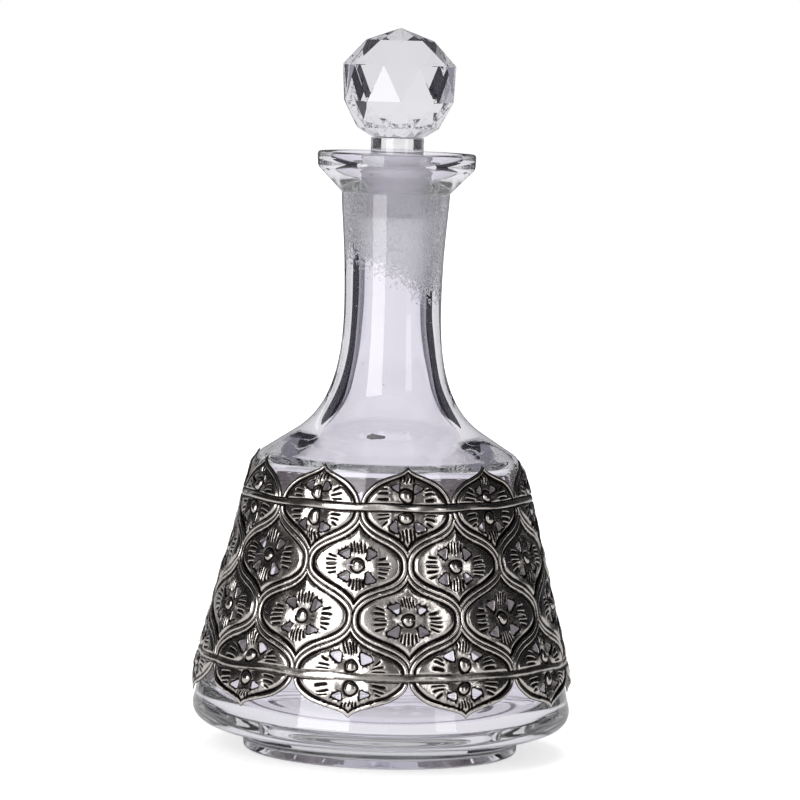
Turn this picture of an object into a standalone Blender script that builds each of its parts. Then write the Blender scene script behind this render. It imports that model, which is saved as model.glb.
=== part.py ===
"""Glass carafe with a ground-in ball stopper and a pierced, embossed metal sleeve.

Run with: blender --background --python part.py

The frame: +Z is up, the origin is the centre of the foot, on the table, and -Y is the front.
The bottle and the stopper are turned about Z. The sleeve is one embossed sheet: a lattice of
ogee motifs, four rows of ten, each with a domed boss and four pierced windows, wrapped round
the conical wall of the bottle, with a raised bead through the first and the last row.
"""

import math

import bmesh
import bpy
from mathutils import Vector

# Bottle, outside, in metres
BOTTLE_HEIGHT = 0.2121
LIP_RADIUS = 0.0279
LIP_EDGE = 0.0007
RIM_HEIGHT = 0.0052
RIM_FILLET = 0.0030
LIP_HEIGHT = 0.0141
NECK_TOP_RADIUS = 0.0192
NECK_TOP_HEIGHT = BOTTLE_HEIGHT - LIP_HEIGHT
NECK_WAIST_RADIUS = 0.0172
SHOULDER_RADIUS = 0.0465
SHOULDER_HEIGHT = 0.1048
SHOULDER_FILLET = 0.0060
SHOULDER_RISE = 0.0087
NECK_BASE_RADIUS = 0.0331
NECK_BASE_HEIGHT = SHOULDER_HEIGHT + SHOULDER_RISE
HEEL_CORNER_RADIUS = 0.0693
HEEL_FILLET = 0.0126
FOOT_HEIGHT = 0.0066
FOOT_TOP_RADIUS = 0.0488
FOOT_TAPER = 0.0014
FOOT_RADIUS = FOOT_TOP_RADIUS - FOOT_TAPER
FOOT_EDGE = 0.0025
RESTING_WIDTH = 0.0064
PUNT_RADIUS = FOOT_RADIUS - RESTING_WIDTH
PUNT_DEPTH = 0.0025

# The neck is narrowest at its waist, at this share of the height from the shoulder to the lip. Each
# sweep share says how far a curve of the neck keeps its direction, as a share of the curve's height.
NECK_WAIST_SHARE = 0.5266
TOP_SWEEP_SHARE = 0.30
WAIST_UP_SWEEP_SHARE = 0.50
WAIST_DOWN_SWEEP_SHARE = 0.4831
SHOULDER_SWEEP_SHARE = 0.3236
NECK_WAIST_HEIGHT = NECK_BASE_HEIGHT + NECK_WAIST_SHARE * (NECK_TOP_HEIGHT - NECK_BASE_HEIGHT)

# Bottle, inside
WALL = 0.0036
SHOULDER_WALL = 0.0042
FLOOR_HEIGHT = 0.0125
INNER_HEEL_FILLET = 0.0100
INNER_SHOULDER_FILLET = 0.0040
NECK_BORE_RADIUS = 0.0114
NECK_BORE_LENGTH = 0.0101
INNER_NECK_SWEEP_SHARE = 0.5050
INNER_SHOULDER_SWEEP_SHARE = 0.3150

# Ground joint between bottle and stopper. The taper is change of radius over length.
GROUND_TAPER = 0.05
PLUG_RADIUS = 0.0132
PLUG_LENGTH = 0.0205
PLUG_SEAT_DEPTH = 0.0020
PLUG_CLEARANCE = 0.0003
PLUG_END_BEVEL = 0.0010
SOCKET_LENGTH = 0.0380

# Above the socket the mouth opens like a trumpet, with an open space round the top of the plug
RIM_WALL = 0.0039
MOUTH_RADIUS = LIP_RADIUS - RIM_WALL
MOUTH_DEPTH_SHARE = 0.894
MOUTH_DEPTH = MOUTH_DEPTH_SHARE * LIP_HEIGHT
MOUTH_SWEEP_SHARE = 0.45
RIM_SWEEP_SHARE = 0.35
MOUTH_CHAMFER = 0.0008

# Stopper above the ground joint
PLUG_CROWN = 0.0027
PLUG_CROWN_FILLET = 0.0018
SHANK_RADIUS = 0.0093
SHANK_HEIGHT = 0.0046
CEMENT_GAP = 0.0003
BALL_RADIUS = 0.0200

# Facets of the ball: each ring's radius and height as shares of the ball's radius, and its turn in facets
BALL_RING_SHARES = (
    (0.62, 0.755, 0.0),
    (1.0, 0.32, 0.5),
    (1.0, -0.32, 0.0),
    (0.72, -0.79, 0.5),
    (0.48, -0.94, 0.0),
)
BALL_TOP_SHARE = 0.975
BALL_FACETS = 10
BALL_TURN = math.radians(2.5)

# Sleeve
SHEET = 0.00045
MOTIFS = 10
SLEEVE_TURN = math.radians(-9.8)
SLEEVE_TIP_HEIGHT = 0.0206
SLEEVE_TOP_RISE = 0.0007
SLEEVE_TOP_HEIGHT = SHOULDER_HEIGHT + SLEEVE_TOP_RISE
SLEEVE_CLEARANCE = 0.0006
SLEEVE_FLARE = 0.0010
LOWER_TUCK = 0.0010
UPPER_TUCK = 0.0010
RIDGE_HEIGHT = 0.0008
RIDGE_WIDTH = 0.0020
FIELD_RISE = 0.0003
BEAD_RISE = 0.0010
BEAD_HALF_WIDTH = 0.0012
BOSS_RADIUS = 0.0018
BOSS_RISE = 0.0010
BOSS_OFFSET = 0.0029
WINDOW_OFFSET = 0.0010

# Heights of the four rows of motifs, as shares of the height from the lowest tips to the highest
ROW_SHARES = (0.1637, 0.3958, 0.6078, 0.8351)
LOWER_BEAD_HEIGHT, LOWER_ROW_HEIGHT, UPPER_ROW_HEIGHT, UPPER_BEAD_HEIGHT = (
    SLEEVE_TIP_HEIGHT + share * (SLEEVE_TOP_HEIGHT - SLEEVE_TIP_HEIGHT) for share in ROW_SHARES
)

# Corners of the window in each quarter of a motif, as shares of the motif's half width and of the
# spacing of the rows, and the steps along the bead as shares of the width inside the ridges
WINDOW_SHARES = ((0.18, 0.10), (0.41, 0.23), (0.19, 0.33))
BEAD_STEP_SHARES = (0.32, 0.62)

# A window keeps inside this share of the width between the ridges, and the free scallops are fuller
WINDOW_FIELD_SHARE = 0.85
SCALLOP_FULLNESS = 1.5

SEGMENTS = 36
OGEE_STEPS = 5
FILLET_STEPS = 2
HEEL_STEPS = 5
SWEEP_STEPS = 6
MOUTH_STEPS = 5
MERGE = 0.00001


def clear_scene():
    """Empties the scene, so that the script can be run again from the text editor."""
    for obj in list(bpy.data.objects):
        bpy.data.objects.remove(obj)


def make_material(name, colour, roughness, metallic=0.0, transmission=0.0):
    """A plain Principled material."""
    material = bpy.data.materials.new(name)
    material.use_nodes = True
    shader = material.node_tree.nodes["Principled BSDF"]
    shader.inputs["Base Color"].default_value = (*colour, 1.0)
    shader.inputs["Roughness"].default_value = roughness
    shader.inputs["Metallic"].default_value = metallic
    shader.inputs["Transmission Weight"].default_value = transmission
    return material


def link(obj, collection, material, parent=None):
    """Puts an object in the carafe's collection, with its material and parent."""
    collection.objects.link(obj)
    obj.data.materials.append(material)
    if parent is not None:
        obj.parent = parent
        obj.matrix_parent_inverse = parent.matrix_world.inverted()
    return obj


def rounded(corners):
    """A polyline with each corner (point, radius, steps) replaced by an arc of that radius."""
    line = []
    for index, (point, radius, steps) in enumerate(corners):
        if not radius:
            line.append(point)
            continue
        before = (corners[index - 1][0] - point).normalized()
        after = (corners[index + 1][0] - point).normalized()
        half_angle = before.angle(after) / 2
        centre = point + (before + after).normalized() * (radius / math.sin(half_angle))
        start = point + before * (radius / math.tan(half_angle)) - centre
        sweep = start.angle_signed(point + after * (radius / math.tan(half_angle)) - centre)
        for step in range(steps + 1):
            line.append(centre + turned_by(start, -sweep * step / steps))
    return line


def turned_by(vector, angle):
    """A flat vector turned anticlockwise by an angle."""
    cosine, sine = math.cos(angle), math.sin(angle)
    return Vector((vector.x * cosine - vector.y * sine, vector.x * sine + vector.y * cosine))


def sweep_curve(start, start_handle, end_handle, end, steps):
    """Points along a cubic Bezier curve, without its first point."""
    points = []
    for step in range(1, steps + 1):
        t = step / steps
        u = 1 - t
        near = start * u**3 + start_handle * (3 * u * u * t)
        points.append(near + end_handle * (3 * u * t * t) + end * t**3)
    return points


def crossing(point_a, along_a, point_b, along_b):
    """Where two flat lines cross."""
    between = point_b - point_a
    return point_a + along_a * (between.cross(along_b) / along_a.cross(along_b))


def turn_solid(name, profile):
    """A closed solid turned about Z from a profile that starts and ends on the axis, inside first."""
    mesh = bpy.data.meshes.new(name)
    edges = [(index, index + 1) for index in range(len(profile) - 1)]
    mesh.from_pydata([(point.x, 0.0, point.y) for point in profile], edges, [])
    obj = bpy.data.objects.new(name, mesh)
    screw = obj.modifiers.new("turn", "SCREW")
    screw.steps = SEGMENTS
    screw.render_steps = SEGMENTS
    screw.use_merge_vertices = True
    screw.merge_threshold = MERGE
    screw.use_smooth_shade = True
    return obj


def wall_lines():
    """Corner points and directions of the bottle's wall and shoulder, outside and inside."""
    heel = Vector((HEEL_CORNER_RADIUS, FOOT_HEIGHT))
    shoulder = Vector((SHOULDER_RADIUS, SHOULDER_HEIGHT))
    neck_base = Vector((NECK_BASE_RADIUS, NECK_BASE_HEIGHT))
    up_wall = (shoulder - heel).normalized()
    up_shoulder = (neck_base - shoulder).normalized()
    inward_wall = turned_by(up_wall, math.pi / 2)
    inward_shoulder = turned_by(up_shoulder, math.pi / 2)
    on_wall = shoulder + inward_wall * WALL
    on_shoulder = shoulder + inward_shoulder * SHOULDER_WALL
    return {
        "heel": heel,
        "shoulder": shoulder,
        "neck_base": neck_base,
        "up_shoulder": up_shoulder,
        "inner_heel": crossing(on_wall, up_wall, Vector((0.0, FLOOR_HEIGHT)), Vector((1.0, 0.0))),
        "inner_shoulder": crossing(on_wall, up_wall, on_shoulder, up_shoulder),
        "inner_neck_base": neck_base + inward_shoulder * SHOULDER_WALL,
    }


def plug_radius_at(height):
    """Radius of the stopper's ground surface, which the socket follows with the clearance added."""
    return PLUG_RADIUS - GROUND_TAPER * (BOTTLE_HEIGHT - PLUG_SEAT_DEPTH - height)


def inner_profile(lines):
    """The inside of the bottle, from the middle of its floor up to the mouth."""
    socket_end = BOTTLE_HEIGHT - PLUG_SEAT_DEPTH - SOCKET_LENGTH
    bore = Vector((NECK_BORE_RADIUS, socket_end - NECK_BORE_LENGTH))
    base = lines["inner_neck_base"]
    rise = bore.y - base.y
    mouth_base = BOTTLE_HEIGHT - MOUTH_DEPTH
    socket_top = Vector((plug_radius_at(mouth_base) + PLUG_CLEARANCE, mouth_base))
    rim = Vector((MOUTH_RADIUS, BOTTLE_HEIGHT - MOUTH_CHAMFER))
    flare = Vector((LIP_RADIUS - NECK_TOP_RADIUS, LIP_HEIGHT - RIM_HEIGHT)).normalized()
    profile = [Vector((0.0, FLOOR_HEIGHT))]
    profile += rounded([
        (Vector((0.0, FLOOR_HEIGHT)), 0.0, 0),
        (lines["inner_heel"], INNER_HEEL_FILLET, FILLET_STEPS + 1),
        (lines["inner_shoulder"], INNER_SHOULDER_FILLET, FILLET_STEPS),
        (base, 0.0, 0),
    ])[1:]
    profile += sweep_curve(
        base,
        base + lines["up_shoulder"] * (rise * INNER_SHOULDER_SWEEP_SHARE),
        bore - Vector((0.0, rise * INNER_NECK_SWEEP_SHARE)),
        bore,
        SWEEP_STEPS,
    )
    profile.append(Vector((plug_radius_at(socket_end) + PLUG_CLEARANCE, socket_end)))
    profile.append(socket_top)
    profile += sweep_curve(
        socket_top,
        socket_top + flare * ((rim.y - socket_top.y) * MOUTH_SWEEP_SHARE),
        rim - Vector((0.0, (rim.y - socket_top.y) * RIM_SWEEP_SHARE)),
        rim,
        MOUTH_STEPS,
    )
    profile.append(rim + Vector((MOUTH_CHAMFER, MOUTH_CHAMFER)))
    return profile


def outer_profile(lines):
    """The outside of the bottle, from the mouth over the lip and down to the middle of the foot."""
    neck_top = Vector((NECK_TOP_RADIUS, NECK_TOP_HEIGHT))
    waist = Vector((NECK_WAIST_RADIUS, NECK_WAIST_HEIGHT))
    neck_base = lines["neck_base"]
    above = neck_top.y - waist.y
    below = waist.y - neck_base.y
    profile = rounded([
        (Vector((0.0, BOTTLE_HEIGHT)), 0.0, 0),
        (Vector((LIP_RADIUS, BOTTLE_HEIGHT)), LIP_EDGE, 1),
        (Vector((LIP_RADIUS, BOTTLE_HEIGHT - RIM_HEIGHT)), RIM_FILLET, FILLET_STEPS),
        (neck_top, 0.0, 0),
    ])[1:]
    profile += sweep_curve(
        neck_top,
        neck_top + (waist - neck_top) * TOP_SWEEP_SHARE,
        waist + Vector((0.0, above * WAIST_UP_SWEEP_SHARE)),
        waist,
        FILLET_STEPS,
    )
    profile += sweep_curve(
        waist,
        waist - Vector((0.0, below * WAIST_DOWN_SWEEP_SHARE)),
        neck_base + lines["up_shoulder"] * (below * SHOULDER_SWEEP_SHARE),
        neck_base,
        SWEEP_STEPS,
    )
    profile += rounded([
        (neck_base, 0.0, 0),
        (lines["shoulder"], SHOULDER_FILLET, FILLET_STEPS),
        (lines["heel"], HEEL_FILLET, HEEL_STEPS),
        (Vector((FOOT_TOP_RADIUS, FOOT_HEIGHT)), 0.0, 0),
        (Vector((FOOT_RADIUS, 0.0)), FOOT_EDGE, FILLET_STEPS),
        (Vector((PUNT_RADIUS, 0.0)), 0.0, 0),
        (Vector((PUNT_RADIUS - PUNT_DEPTH, PUNT_DEPTH)), 0.0, 0),
        (Vector((0.0, PUNT_DEPTH)), 0.0, 0),
    ])[1:]
    return profile


def make_bottle():
    """The bottle: one blown and pressed piece, with a thick neck, a flared lip and a round foot."""
    lines = wall_lines()
    return turn_solid("glass_bottle", inner_profile(lines) + outer_profile(lines))


def make_plug():
    """The stopper's lower piece: a round shank on a ground, tapered plug that sits in the neck."""
    top = BOTTLE_HEIGHT - PLUG_SEAT_DEPTH
    end = top - PLUG_LENGTH
    crown = top + PLUG_CROWN
    profile = [Vector((0.0, crown + SHANK_HEIGHT))]
    profile += rounded([
        (Vector((SHANK_RADIUS, crown + SHANK_HEIGHT)), 0.0, 0),
        (Vector((SHANK_RADIUS, crown)), 0.0, 0),
        (Vector((PLUG_RADIUS, crown)), PLUG_CROWN_FILLET, FILLET_STEPS),
        (Vector((PLUG_RADIUS, top)), 0.0, 0),
        (Vector((plug_radius_at(end + PLUG_END_BEVEL), end + PLUG_END_BEVEL)), 0.0, 0),
        (Vector((plug_radius_at(end) - PLUG_END_BEVEL, end)), 0.0, 0),
        (Vector((0.0, end)), 0.0, 0),
    ])
    return turn_solid("stopper_plug", profile)


def make_ball():
    """The stopper's cut ball: rings of corners, half a facet apart, joined by flat triangular facets."""
    seat = BOTTLE_HEIGHT - PLUG_SEAT_DEPTH + PLUG_CROWN + SHANK_HEIGHT + CEMENT_GAP
    centre = seat - BALL_RING_SHARES[-1][1] * BALL_RADIUS
    bm = bmesh.new()
    bm.verts.new((0.0, 0.0, centre + BALL_TOP_SHARE * BALL_RADIUS))
    for radius_share, height_share, turn in BALL_RING_SHARES:
        for facet in range(BALL_FACETS):
            azimuth = BALL_TURN + (facet + turn) * math.tau / BALL_FACETS
            radius = radius_share * BALL_RADIUS
            height = centre + height_share * BALL_RADIUS
            bm.verts.new((radius * math.sin(azimuth), -radius * math.cos(azimuth), height))
    bmesh.ops.convex_hull(bm, input=bm.verts)
    bmesh.ops.recalc_face_normals(bm, faces=bm.faces)
    mesh = bpy.data.meshes.new("stopper_ball")
    bm.to_mesh(mesh)
    bm.free()
    return bpy.data.objects.new("stopper_ball", mesh)


def wall_radius_at(height):
    """Radius of the bottle's straight wall, which the sleeve is wrapped round."""
    rise = (height - FOOT_HEIGHT) / (SHOULDER_HEIGHT - FOOT_HEIGHT)
    return HEEL_CORNER_RADIUS + (SHOULDER_RADIUS - HEEL_CORNER_RADIUS) * rise


def sleeve_radius_at(height):
    """Radius of the sheet's outer face between its ridges. Both edges are pressed in past the beads."""
    below = (UPPER_BEAD_HEIGHT - height) / (UPPER_BEAD_HEIGHT - LOWER_BEAD_HEIGHT)
    radius = wall_radius_at(height) + SLEEVE_CLEARANCE + SHEET + SLEEVE_FLARE * below
    lower = (LOWER_BEAD_HEIGHT - height) / (LOWER_BEAD_HEIGHT - SLEEVE_TIP_HEIGHT)
    upper = (height - UPPER_BEAD_HEIGHT) / (SLEEVE_TOP_HEIGHT - UPPER_BEAD_HEIGHT)
    return radius - LOWER_TUCK * max(0.0, lower) ** 2 - UPPER_TUCK * max(0.0, upper) ** 2


def ogee(t, fullness):
    """Half width of a motif, as a share, at the share t of its half height."""
    s = t**fullness
    return 1 - s * s * s * (s * (6 * s - 15) + 10)


def inset_ogee(t, fullness, inset, half_width, half_height):
    """Half width of the line that runs inside a motif's outline at the distance inset from it."""
    step = MERGE / half_height
    slope = (ogee(t + step, fullness) - ogee(max(0.0, t - step), fullness)) / (2 * step)
    return ogee(t, fullness) - inset / half_width * math.hypot(1.0, slope * half_width / half_height)


def inset_tip(fullness, inset, half_width, half_height):
    """Share of the half height at which the inset line meets the middle of the motif."""
    low, high = 0.5, 1.0
    while high - low > MERGE / half_height:
        middle = (low + high) / 2
        if inset_ogee(middle, fullness, inset, half_width, half_height) > 0:
            low = middle
        else:
            high = middle
    return low


def motif_quarter(half_height, beaded, fullness):
    """A flat quarter of a motif, as a bmesh. x runs across from its middle and y up from its middle,
    or from the edge of the bead. z is the embossed height. Its window is a hole."""
    half_width = math.pi * sleeve_radius_at(LOWER_ROW_HEIGHT) / MOTIFS
    boss_y = BOSS_OFFSET if beaded else 0.0
    window_y = WINDOW_OFFSET if beaded else 0.0
    window_unit = LOWER_ROW_HEIGHT - LOWER_BEAD_HEIGHT
    bm = bmesh.new()

    def line(points):
        verts = [bm.verts.new(point) for point in points]
        return verts, [bm.edges.new(pair) for pair in zip(verts, verts[1:])]

    tip = inset_tip(fullness, RIDGE_WIDTH, half_width, half_height)
    shares = [step / OGEE_STEPS for step in range(OGEE_STEPS + 1)]
    ridge, _ = line([(half_width * ogee(t, fullness), half_height * t, RIDGE_HEIGHT) for t in shares])
    foot_points = []
    for share in shares:
        across = inset_ogee(share * tip, fullness, RIDGE_WIDTH, half_width, half_height)
        foot_points.append((half_width * max(0.0, across), half_height * share * tip, FIELD_RISE))
    foot_points[-1] = (0.0, foot_points[-1][1], FIELD_RISE)
    foot, edges = line(foot_points)
    for index in range(len(foot) - 1):
        bm.faces.new((foot[index], ridge[index], ridge[index + 1], foot[index + 1]))

    angles = [math.pi / 2 * step / 2 for step in range(3)]
    if beaded:
        angles = [angle - math.pi / 2 for angle in angles[:-1]] + angles
    ring = [(BOSS_RADIUS * math.cos(angle), BOSS_RADIUS * math.sin(angle)) for angle in angles]
    arc, arc_edges = line([(x, boss_y + y, FIELD_RISE) for x, y in ring])
    for end in (arc[0], arc[-1]):
        if end.co.x < MERGE:
            end.co.x = 0.0
    apex = bm.verts.new((0.0, boss_y, FIELD_RISE + BOSS_RISE))
    for index in range(len(arc) - 1):
        bm.faces.new((apex, arc[index], arc[index + 1]))

    window_points = []
    for x, y in WINDOW_SHARES:
        up = window_y + window_unit * y
        field = inset_ogee(up / half_height, fullness, RIDGE_WIDTH, half_width, half_height)
        window_points.append((half_width * min(x, WINDOW_FIELD_SHARE * field), up, FIELD_RISE))
    window, window_edges = line(window_points)
    window_edges.append(bm.edges.new((window[-1], window[0])))

    bottom = [foot[0]]
    if beaded:
        bottom += [bm.verts.new((foot[0].co.x * x, 0.0, FIELD_RISE)) for x in reversed(BEAD_STEP_SHARES)]
        bottom.append(bm.verts.new((0.0, 0.0, FIELD_RISE)))
        edge_row = [ridge[0]] + bottom
        crest = [bm.verts.new((vert.co.x, -BEAD_HALF_WIDTH, vert.co.z + BEAD_RISE)) for vert in edge_row]
        crest[0].co.z = crest[1].co.z
        for index in range(len(edge_row) - 1):
            bm.faces.new((edge_row[index], edge_row[index + 1], crest[index + 1], crest[index]))
    edges += [bm.edges.get(pair) or bm.edges.new(pair) for pair in zip(bottom, bottom[1:] + [arc[0]])]
    edges.append(bm.edges.new((arc[-1], foot[-1])))
    bmesh.ops.triangle_fill(
        bm, use_beauty=True, use_dissolve=False, edges=edges + arc_edges + window_edges, normal=(0, 0, 1)
    )
    for vert in bm.verts:
        vert.co.x /= half_width
    return bm


def add_quarter(sheet, quarter, azimuth, row_height, bead_half, side, up):
    """Copies a flat quarter on to the cone, mirrored by side and up, each 1 or -1."""
    placed = {}
    for vert in quarter.verts:
        height = row_height + up * (bead_half + vert.co.y)
        turn = azimuth + side * vert.co.x * math.pi / MOTIFS
        radius = sleeve_radius_at(height) + vert.co.z
        placed[vert] = sheet.verts.new((radius * math.sin(turn), -radius * math.cos(turn), height))
    for face in quarter.faces:
        corners = [placed[vert] for vert in face.verts]
        outward = face.normal.z * side * up > 0
        sheet.faces.new(corners if outward else corners[::-1])


def make_sleeve():
    """The sleeve: a sheet embossed with rows of motifs, each row half a motif round from the last."""
    bead = BEAD_HALF_WIDTH
    low, lower, upper, high = LOWER_BEAD_HEIGHT, LOWER_ROW_HEIGHT, UPPER_ROW_HEIGHT, UPPER_BEAD_HEIGHT
    rows = (
        (low, 0.0, bead, low - SLEEVE_TIP_HEIGHT - bead, lower - low - bead),
        (lower, 0.5, 0.0, lower - low - bead, upper - lower),
        (upper, 0.0, 0.0, upper - lower, high - upper - bead),
        (high, 0.5, bead, high - upper - bead, SLEEVE_TOP_HEIGHT - high - bead),
    )
    sheet = bmesh.new()
    for row_height, turn, bead_half, below, above in rows:
        for up, half_height in ((-1, below), (1, above)):
            free_edge = (up < 0) == (row_height == low) and bead_half > 0
            fullness = SCALLOP_FULLNESS if free_edge else 1.0
            quarter = motif_quarter(half_height, bead_half > 0, fullness)
            for motif in range(MOTIFS):
                azimuth = SLEEVE_TURN + (motif + turn) * math.tau / MOTIFS
                for side in (-1, 1):
                    add_quarter(sheet, quarter, azimuth, row_height, bead_half, side, up)
            quarter.free()
    bmesh.ops.remove_doubles(sheet, verts=sheet.verts, dist=MERGE)
    mesh = bpy.data.meshes.new("metal_sleeve")
    sheet.to_mesh(mesh)
    sheet.free()
    obj = bpy.data.objects.new("metal_sleeve", mesh)
    solidify = obj.modifiers.new("sheet", "SOLIDIFY")
    solidify.thickness = SHEET
    solidify.offset = -1.0
    return obj


def make_carafe():
    """Builds the carafe: the bottle and its sleeve stand, and the stopper is lifted out by its ball."""
    clear_scene()
    carafe = bpy.data.collections.new("carafe")
    bpy.context.scene.collection.children.link(carafe)
    clear_glass = make_material("clear_glass", (0.93, 0.95, 0.95), 0.03, transmission=1.0)
    ground_glass = make_material("ground_glass", (0.86, 0.87, 0.88), 0.45, transmission=1.0)
    cut_crystal = make_material("cut_crystal", (0.97, 0.97, 0.98), 0.0, transmission=1.0)
    aged_silver = make_material("aged_silver", (0.55, 0.53, 0.50), 0.32, metallic=1.0)

    stopper = bpy.data.objects.new("stopper", None)
    stopper.location = (0.0, 0.0, BOTTLE_HEIGHT)
    carafe.objects.link(stopper)
    bpy.context.view_layer.update()

    link(make_bottle(), carafe, clear_glass)
    link(make_sleeve(), carafe, aged_silver)
    link(make_plug(), carafe, ground_glass, parent=stopper)
    link(make_ball(), carafe, cut_crystal, parent=stopper)


make_carafe()
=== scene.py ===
# %% [markdown]
# A glass carafe with a cut ball stopper and a pierced silver sleeve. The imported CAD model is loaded
# as a frame that never moves, and the pieces that the eye lingers on are made again round it with
# more detail: glass that is smooth all round, a ball with softened facet edges, and a sleeve whose
# chased work is real relief.

import math

import bpy
import numpy as np
from mathutils import Matrix, Vector
from mathutils.geometry import delaunay_2d_cdt


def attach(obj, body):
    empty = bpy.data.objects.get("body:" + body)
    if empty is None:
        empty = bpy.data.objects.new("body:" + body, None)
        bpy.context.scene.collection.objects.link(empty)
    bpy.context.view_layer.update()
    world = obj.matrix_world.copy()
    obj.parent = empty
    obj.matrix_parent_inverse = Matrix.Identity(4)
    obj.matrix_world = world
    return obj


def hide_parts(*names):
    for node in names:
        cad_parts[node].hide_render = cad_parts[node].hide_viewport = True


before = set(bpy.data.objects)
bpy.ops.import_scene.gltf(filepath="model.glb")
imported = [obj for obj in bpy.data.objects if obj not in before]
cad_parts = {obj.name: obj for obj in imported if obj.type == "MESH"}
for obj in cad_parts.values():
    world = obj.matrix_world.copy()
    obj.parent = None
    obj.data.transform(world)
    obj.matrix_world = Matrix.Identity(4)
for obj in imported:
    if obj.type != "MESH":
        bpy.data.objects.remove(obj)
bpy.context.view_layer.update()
print("pieces of the frame:", sorted(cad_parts))

# %% [markdown]
# Every step needs the same few helpers: millimetres, colours written as a painter would look them
# up, one way to add a shader node, and a clean selection, because an operator acts on whatever is
# selected.

# %% Helpers for lengths, colours, nodes and selections
MM = 0.001


def colour(code):
    """A hex sRGB colour as the linear colour that a shader takes."""
    parts = [int(code[i:i + 2], 16) / 255 for i in (1, 3, 5)]
    return (*[c / 12.92 if c <= 0.04045 else ((c + 0.055) / 1.055) ** 2.4 for c in parts], 1.0)


def add_node(tree, kind, inputs=None, **settings):
    """Adds one node. Each input is a plain value, or the output of another node to link from."""
    node = tree.nodes.new(kind)
    for name, value in settings.items():
        setattr(node, name, value)
    for key, value in (inputs or {}).items():
        if isinstance(value, bpy.types.NodeSocket):
            tree.links.new(value, node.inputs[key])
        else:
            node.inputs[key].default_value = value
    return node


def new_material(name):
    """An empty node material, its tree and its output node."""
    material = bpy.data.materials.new(name)
    material.use_nodes = True
    tree = material.node_tree
    tree.nodes.clear()
    return material, tree, tree.nodes.new("ShaderNodeOutputMaterial")


def select_only(obj=None):
    """Leaves edit mode and selects one object, or none."""
    if bpy.context.object and bpy.context.object.mode != "OBJECT":
        bpy.ops.object.mode_set(mode="OBJECT")
    bpy.ops.object.select_all(action="DESELECT")
    if obj is not None:
        obj.select_set(True)
        bpy.context.view_layer.objects.active = obj


def finish_piece(obj, body, node, material):
    """Gives a finished piece its material and body, and hides the CAD node that it stands in for."""
    obj.data.materials.clear()
    obj.data.materials.append(material)
    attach(obj, body)
    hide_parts(node)
    print(obj.name, "has", len(obj.data.polygons), "faces")


# %% [markdown]
# The photograph was taken from about 1.6 m away, a little above the lip. The distance can be read
# from how open the ellipses of the lip and the foot are. The carafe leans a degree or two in the
# picture, so the camera is rolled by as much, and stands where the foot, the ball and both sides of
# the sleeve fall on their places in the photograph.

# %% Camera
EYE = Vector((0.0, -1.6, 0.257))
AIM = Vector((0.0036, 0.0, 0.1246))
ROLL = math.radians(1.7)

camera = bpy.data.objects.new("camera", bpy.data.cameras.new("camera"))
camera.data.lens = 203.85
camera.data.sensor_width = 36.0
camera.data.clip_end = 50.0
facing = (AIM - EYE).to_track_quat("-Z", "Y").to_matrix().to_4x4()
camera.matrix_world = Matrix.Translation(EYE) @ facing @ Matrix.Rotation(ROLL, 4, "Z")
bpy.context.scene.collection.objects.link(camera)
bpy.context.scene.camera = camera
print("camera", round((AIM - EYE).length, 3), "m away")

# %% [markdown]
# Clear glass has no colour of its own to show. It is drawn by what stands round it: a white
# background seen through it, and dark boards behind it at both sides, whose images gather at its
# edges. The metal has boards of its own, which only it mirrors. The floor is white and keeps a soft
# shadow.

# %% World, floor and backdrop
scene = bpy.context.scene
scene.view_settings.view_transform = "Standard"
# Light is mirrored many times inside the thick base, and passes many faces of glass on its way
scene.cycles.max_bounces = 32
scene.cycles.transmission_bounces = 24
scene.cycles.glossy_bounces = 24
scene.cycles.diffuse_bounces = 8

world = bpy.data.worlds.new("white_room")
world.use_nodes = True
scene.world = world
tree = world.node_tree
tree.nodes.clear()
path = add_node(tree, "ShaderNodeLightPath")
in_view = {0: path.outputs["Is Camera Ray"], 1: path.outputs["Is Glossy Ray"]}
seen = add_node(tree, "ShaderNodeMath", in_view, operation="MAXIMUM")
plain = add_node(tree, "ShaderNodeMapRange", {"Value": seen.outputs[0], "To Min": 0.6, "To Max": 1.0})
strength = add_node(tree, "ShaderNodeMix", {"Factor": path.outputs["Is Transmission Ray"],
                                            2: plain.outputs[0], 3: 0.94}, data_type="FLOAT")
sky = add_node(tree, "ShaderNodeBackground", {"Color": (1, 1, 1, 1), "Strength": strength.outputs[0]})
add_node(tree, "ShaderNodeOutputWorld", {"Surface": sky.outputs[0]})

select_only()
bpy.ops.mesh.primitive_plane_add(size=14.0)
floor = bpy.context.object
floor.name = "white_floor"
material, tree, out = new_material("white_paper")
place = add_node(tree, "ShaderNodeTexCoord")
away = add_node(tree, "ShaderNodeVectorMath", {0: place.outputs["Object"]}, operation="LENGTH")
glow = add_node(tree, "ShaderNodeMapRange", {"Value": away.outputs["Value"], "From Min": 0.1,
                                             "From Max": 1.2, "To Min": 0.62, "To Max": 1.0})
paper = add_node(tree, "ShaderNodeBsdfDiffuse", {"Color": colour("#D9D9D9")})
light = add_node(tree, "ShaderNodeEmission", {"Color": (1, 1, 1, 1), "Strength": glow.outputs[0]})
lit = add_node(tree, "ShaderNodeAddShader", {0: paper.outputs[0], 1: light.outputs[0]})
through = add_node(tree, "ShaderNodeEmission", {"Color": (1, 1, 1, 1), "Strength": 0.92})
path = add_node(tree, "ShaderNodeLightPath")
mixed = add_node(tree, "ShaderNodeMixShader", {0: path.outputs["Is Camera Ray"], 1: paper.outputs[0],
                                               2: lit.outputs[0]})
mixed = add_node(tree, "ShaderNodeMixShader", {0: path.outputs["Is Transmission Ray"], 1: mixed.outputs[0],
                                               2: through.outputs[0]})
tree.links.new(mixed.outputs[0], out.inputs["Surface"])
floor.data.materials.append(material)


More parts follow.
